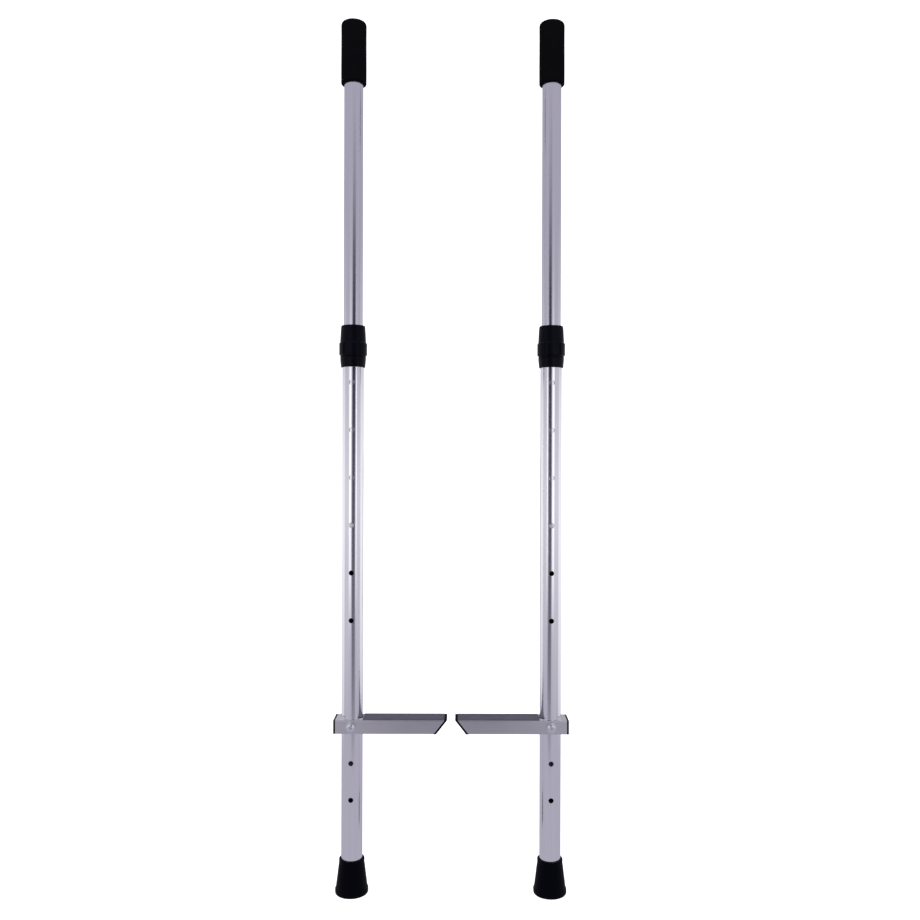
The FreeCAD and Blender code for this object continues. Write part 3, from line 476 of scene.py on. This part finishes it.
for side in SIDES:
    foot = make_foot(side)
    print(foot.name, len(foot.data.vertices), "vertices")

# %% [markdown]
# ## Twist lock
# Two moulded pieces. The lower ring is pressed on the thick tube and carries a threaded spigot. The nut turns on it
# and squeezes the collet. Six flutes run across the nut's grip band, so that wet fingers can turn it. Here the flutes
# are part of the outline's radius: inside a flute the radius drops, with a soft ramp at its edges.


# %% Make the collar rings
def make_collar_ring(side):
    at = stilts[side]
    low, high = at.low["collar_body"].z, at.high["collar_body"].z
    seat = radius_of(at, "lower_tube") + PRESS_GAP
    clear = radius_of(at, "upper_tube") + 0.0003
    ledge = at.high["lower_tube"].z
    shoulder, spigot = low + 0.0146, 0.01568
    corners = [(seat, low), (0.0166, low), (0.0172, low + 0.006)]
    corners += [(0.01772, low + 0.0118), (0.01745, low + 0.0124)]
    rounding = [0.0003, 0.0008, 0.004, 0.0005, 0.0002]
    corners += [(0.01745, low + 0.0129), (0.01775, low + 0.0134), (0.0178, shoulder), (spigot, shoulder)]
    rounding += [0.0002, 0.0002, 0.0006, 0.0002]
    corners += [(spigot, high), (clear, high), (clear, ledge + 0.00005), (seat, ledge + 0.00005)]
    rounding += [0.0003, 0.0003, 0, 0]
    ring = turn(f"{side}_collar_ring", round_corners(corners, rounding), moulded_plastic.material, at.x, 128)
    show_smooth(ring, 35)
    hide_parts(f"{side}_collar_body")
    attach(ring, f"{side}_stilt")
    return ring


# %% Make the twist nuts
FLUTE_HALF_WIDTH = 0.0019
FLUTE_RAMP = 0.0006
FLUTE_FLOOR = 0.00005


def make_twist_nut(side):
    at = stilts[side]
    low, high = at.low["collar_nut"].z, at.high["collar_nut"].z
    collet_low, collet_high = (corner.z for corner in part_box(f"{side}_collet"))
    band_low, band_high = low + 0.0012, low + 0.0195
    thread, clear = 0.01582, radius_of(at, "upper_tube") + 0.00032
    body, band, top = 0.01775, 0.0191, 0.0164
    corners = [(thread, low), (body - 0.0002, low), (body, band_low), (band, band_low + 0.0008)]
    rounding = [0.0002, 0.0004, 0.0003, 0.0006]
    corners += [(band, (band_low + band_high) / 2), (band, band_high - 0.0016), (body, band_high)]
    rounding += [0, 0.0008, 0.0008]
    corners += [(body - 0.0004, high - 0.014), (top + 0.0003, high - 0.003), (top, high), (clear, high)]
    rounding += [0.004, 0.002, 0.0019, 0.0004]
    corners += [(clear, collet_high + 0.0003), (0.01462, collet_high + 0.0003)]
    corners += [(0.01552, collet_low), (thread, collet_low)]
    rounding += [0, 0, 0, 0]

    def flute(radius, angle, height):
        if radius < body + 0.0001 or not band_low < height < band_high:
            return radius
        turned = (angle + math.pi / 6) % (math.pi / 3) - math.pi / 6
        across = abs(turned) * band
        ramp = min(max((across - FLUTE_HALF_WIDTH) / FLUTE_RAMP, 0.0), 1.0)
        ramp = ramp * ramp * (3 - 2 * ramp)
        return body + FLUTE_FLOOR + (radius - body - FLUTE_FLOOR) * ramp

    nut = turn(
        f"{side}_twist_nut_shell", round_corners(corners, rounding), moulded_plastic.material, at.x, 360, flute
    )
    show_smooth(nut, 38)
    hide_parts(f"{side}_collar_nut")
    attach(nut, f"{side}_twist_nut")
    return nut


for side in SIDES:
    ring, nut = make_collar_ring(side), make_twist_nut(side)
    print(ring.name, len(ring.data.vertices), "and", nut.name, len(nut.data.vertices), "vertices")

# %% [markdown]
# ## Step bolt
# A pan-head screw with a cross recess and a rolled thread. The CAD model leaves its thread plain. A thread is a
# groove that climbs by one pitch per turn, so its depth depends on the height plus the angle: the same `turn` helper
# makes it when its outline has a point every tenth of a millimetre. The recess is a cross pressed into the head.


# %% Lay a turned piece across the pole
def lay_across(piece, x, z):
    """Turns a piece that was made round Z so that its +Z points to the front, and puts it at x and z."""
    piece.data.transform(Matrix.Translation((x, 0, z)) @ Matrix.Rotation(math.radians(90), 4, "X"))


# %% Make the bolts
THREAD_PITCH = 0.001
THREAD_DEPTH = 0.00052
THREAD_STEP = 0.0001
RECESS_DEPTH = 0.0018
RECESS_REACH = 0.003
RECESS_HALF_BAR = 0.0007


def make_bolt(side):
    low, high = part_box(f"{side}_bolt")
    x, z = (low.x + high.x) / 2, (low.z + high.z) / 2
    seat = -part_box(f"{side}_washer_front")[0].y
    front, tip = -low.y, -high.y
    rim, shank = (high.x - low.x) / 2 - 0.00003, 0.00298
    face = front - 0.00002
    dome = [(rim, seat), (rim, seat + 0.0012), (0.0052, seat + 0.0026), (0.0034, face)]
    dome += [(0.0028, face), (0.0018, face), (0.0009, face), (0, face)]
    outline = round_corners([(shank, seat)] + dome, [0, 0.0004, 0.0007, 0.002, 0.0006, 0, 0, 0, 0], steps=4)
    thread_top = seat - 0.026
    outline += [Vector((0, tip)), Vector((shank - 0.0009, tip))]
    steps = int((thread_top - tip) / THREAD_STEP)
    for k in range(1, steps):
        outline.append(Vector((shank, tip + (thread_top - tip) * k / steps)))

    def cut_thread(radius, angle, height):
        if height > thread_top or radius < 0.0012 or height <= tip:
            return radius
        climb = (height / THREAD_PITCH + angle / (2 * math.pi)) % 1.0
        lead_in = min((height - tip) / 0.0012, 1.0)
        return radius * (0.84 + 0.16 * lead_in) - THREAD_DEPTH * abs(2 * climb - 1)

    screw = turn(f"{side}_step_screw", outline, zinc_plate.material, 0, 72, cut_thread)
    lay_across(screw, x, z)
    for vertex in screw.data.vertices:
        across, up = abs(vertex.co.x - x), abs(vertex.co.z - z)
        if vertex.co.y < -(front - 0.0004) and max(across, up) < RECESS_REACH:
            bar = 1 - min(across, up) / RECESS_HALF_BAR
            fall_off = 1 - (max(across, up) / RECESS_REACH) ** 3
            vertex.co.y += RECESS_DEPTH * max(bar, 0) ** 0.5 * fall_off
    show_smooth(screw, 30)
    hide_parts(f"{side}_bolt")
    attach(screw, f"{side}_stilt")
    return screw


for side in SIDES:
    screw = make_bolt(side)
    print(screw.name, len(screw.data.vertices), "vertices")

# %% [markdown]
# ## Finish the parts that keep their CAD shape
# Tubes, steps, strips, caps, washers and springs are already exact. Each gets its finish and a narrow bevel,
# because a sawn or moulded edge is always a little broken, and its thin bright line shows how thick a wall is.

# %% Give the kept parts their finish
KEPT = {
    "lower_tube": (bright_tube, 0.0002),
    "upper_tube": (satin_tube, 0.0002),
    "step_tube": (brushed_step, 0.00025),
    "tread": (strip_rubber, 0.00025),
    "step_heel_cap": (moulded_plastic, 0.0005),
    "step_tip_cap": (moulded_plastic, 0.0004),
    "washer_front": (zinc_plate, 0.0002),
    "washer_back": (zinc_plate, 0.0002),
    "wing_nut": (zinc_plate, 0.0005),
    "foot_washer": (stainless, 0.0002),
    "snap_button": (stainless, 0.0001),
    "snap_spring": (stainless, 0.0001),
    "collet": (moulded_plastic, 0.0002),
    "end_plug": (moulded_plastic, 0.0003),
}


def finish_kept_part(node, finish, edge):
    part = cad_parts[node]
    part.data.materials.clear()
    part.data.materials.append(finish.material)
    bevel = part.modifiers.new("broken_edge", "BEVEL")
    bevel.width = edge
    bevel.segments = 2
    bevel.limit_method = "ANGLE"
    bevel.angle_limit = math.radians(40)
    bevel.harden_normals = True
    bevel.use_clamp_overlap = True


for side in SIDES:
    for part, (finish, edge) in KEPT.items():
        finish_kept_part(f"{side}_{part}", finish, edge)
print(len(KEPT) * len(SIDES), "CAD parts finished")

# %% [markdown]
# ## Studio
# A white floor that curves up into a white wall, a large soft light overhead and a weaker one in front. A polished
# tube shows the room as stripes, so the room is arranged for its reflection: two upright softboxes give the bright
# bands, a dark card between them gives the narrow line down the middle, and panels at the sides and behind light the
# tube's edges and the top of the step. Cards and panels are only seen in reflections.


# %% Floor and wall
def make_sweep():
    mesh = bmesh.new()
    profile = [(-4.0, 0.0), (1.4, 0.0)]
    for k in range(1, 13):
        angle = math.pi / 2 * k / 12
        profile.append((1.4 + math.sin(angle), 1 - math.cos(angle)))
    profile.append((2.4, 5.0))
    rows = [[mesh.verts.new((x, y, z)) for x in (-6, 6)] for y, z in profile]
    for near, far in zip(rows, rows[1:]):
        mesh.faces.new((near[0], near[1], far[1], far[0]))
    paper = Finish("studio_paper", Roughness=0.9, Emission_Strength=0.62)
    paper.feed(Base_Color=(0.9, 0.9, 0.9, 1), Emission_Color=(1.0, 1.0, 1.0, 1))
    paper.material.cycles.emission_sampling = "NONE"
    sweep = finish_mesh("studio_sweep", mesh, paper.material)
    show_smooth(sweep, 60)
    sweep.visible_glossy = False
    sweep.visible_diffuse = False


make_sweep()


# %% A panel that only reflections see
def make_panel(name, corner, across, colour, level, fade):
    """An upright panel. level is its brightness, and fade its share of that at (height, share) stops."""
    low, high = fade[0][0], fade[-1][0]
    mesh = bmesh.new()
    foot = Vector((*corner, low))
    reach, rise = Vector((*across, 0)), Vector((0, 0, high - low))
    mesh.faces.new([mesh.verts.new(p) for p in (foot, foot + reach, foot + reach + rise, foot + rise)])
    glow = Tree(name)
    glow.nodes.clear()
    here = glow.node("ShaderNodeTexCoord", output="Object")
    height = glow.node("ShaderNodeSeparateXYZ", {}, {0: here}, output="Z")
    along = glow.node("ShaderNodeMapRange", {}, {"Value": height, "From Min": low, "From Max": high})
    stops = [((z - low) / (high - low), (share, share, share, 1)) for z, share in fade]
    share = glow.node("ShaderNodeValToRGB", {"stops": stops}, {0: along})
    clear = glow.node("ShaderNodeBsdfTransparent")
    shine = glow.node("ShaderNodeEmission", {}, {"Color": (*colour, 1), "Strength": level})
    surface = glow.node("ShaderNodeMixShader", {}, {0: share, 1: clear, 2: shine})
    glow.node("ShaderNodeOutputMaterial", {}, {"Surface": surface}, output=None)
    glow.material.cycles.emission_sampling = "NONE"
    panel = finish_mesh(name, mesh, glow.material)
    panel.visible_camera = False
    panel.visible_shadow = False
    panel.visible_diffuse = False
    panel.visible_transmission = False
    return panel


# %% Softboxes, side panels and dark cards
BOX_FADE = [(0.02, 0.0), (0.22, 0.12), (0.36, 0.75), (0.5, 1.0)]
BOX_FADE += [(0.76, 0.95), (0.88, 0.3), (1.02, 0.08), (1.2, 0.0)]
SIDE_FADE = [(0.0, 0.15), (0.3, 0.65), (0.5, 1.0), (0.75, 0.5), (0.95, 0.08), (1.2, 0.0)]
EDGE_FADE = [(-0.1, 0.5), (0.2, 0.8), (0.4, 1.0), (0.6, 0.9), (0.75, 0.72), (0.95, 0.25), (1.2, 0.05)]
BACK_EVEN = [(0.3, 1.0), (0.62, 1.0)]
CARD_FADE = [(0.04, 0.0), (0.12, 0.35), (0.2, 0.55), (0.35, 0.72), (0.6, 0.85)]
CARD_FADE += [(0.84, 1.0), (0.95, 0.8), (1.08, 0.3), (1.25, 0.0)]
for side, sign in (("left", -1), ("right", 1)):
    make_panel(f"{side}_softbox", (sign * 0.24, -0.62), (sign * 0.34, 0), (1, 1, 1), 1.25, BOX_FADE)
    make_panel(f"{side}_side_panel", (sign * 0.62, -0.62), (sign * 0.72, 0.52), (0.97, 0.96, 1), 0.76, SIDE_FADE)
    make_panel(f"{side}_edge_panel", (sign * 1.36, -0.08), (sign * -0.7, 1.5), (1, 1, 1), 1.0, EDGE_FADE)
    make_panel(f"{side}_back_panel", (sign * 0.23, 0.72), (sign * 0.3, 0), (1, 1, 1), 0.9, BACK_EVEN)
make_panel("lens_card", (-0.135, -0.37), (0.27, 0), (0.45, 0.4, 1.0), 0.03, CARD_FADE)
make_panel("back_card", (-0.215, 0.7), (0.43, 0), (0.5, 0.48, 0.6), 0.06, [(0.26, 1.0), (0.6, 1.0)])


# %% Soft light from above and the room's own tone
def make_soft_light(name, place, towards, width, height, power):
    light = bpy.data.lights.new(name, "AREA")
    light.shape = "RECTANGLE"
    light.size, light.size_y, light.energy = width, height, power
    lamp = bpy.data.objects.new(name, light)
    lamp.location = place
    lamp.rotation_euler = (Vector(towards) - Vector(place)).to_track_quat("-Z", "Y").to_euler()
    bpy.context.scene.collection.objects.link(lamp)
    lamp.visible_glossy = False
    return lamp


make_soft_light("overhead", (0, -0.6, 2.6), (0, 0.1, 0.3), 3.0, 2.4, 60)
make_soft_light("front_fill", (0, -3.0, 1.4), (0, 0, 0.6), 2.5, 1.6, 35)

world = bpy.data.worlds.new("room")
bpy.context.scene.world = world
world.use_nodes = True
ROOM_TONE = (0.455, 0.44, 0.51)
sky = next(n for n in world.node_tree.nodes if n.type == "BACKGROUND")
sky.inputs["Color"].default_value = (*ROOM_TONE, 1)
sky.inputs["Strength"].default_value = 1.0
bpy.context.scene.view_settings.view_transform = "Standard"
bpy.context.scene.view_settings.look = "None"

# %% [markdown]
# ## Camera
# A normal lens, 1.24 m in front of the poles and at half their height, looking level, so that the uprights stay
# parallel.

# %% Place the camera
CAMERA_PLACE = (0.0112, -1.242, 0.602)
CAMERA_ROLL = -0.0027
camera_data = bpy.data.cameras.new("camera")
camera_data.sensor_width = 36
camera_data.lens = 35.25
camera_data.shift_y = -0.0052
camera = bpy.data.objects.new("camera", camera_data)
camera.location = CAMERA_PLACE
camera.rotation_euler = (math.pi / 2, CAMERA_ROLL, 0)
bpy.context.scene.collection.objects.link(camera)
bpy.context.scene.camera = camera
print("camera at", [round(c, 3) for c in camera.location])
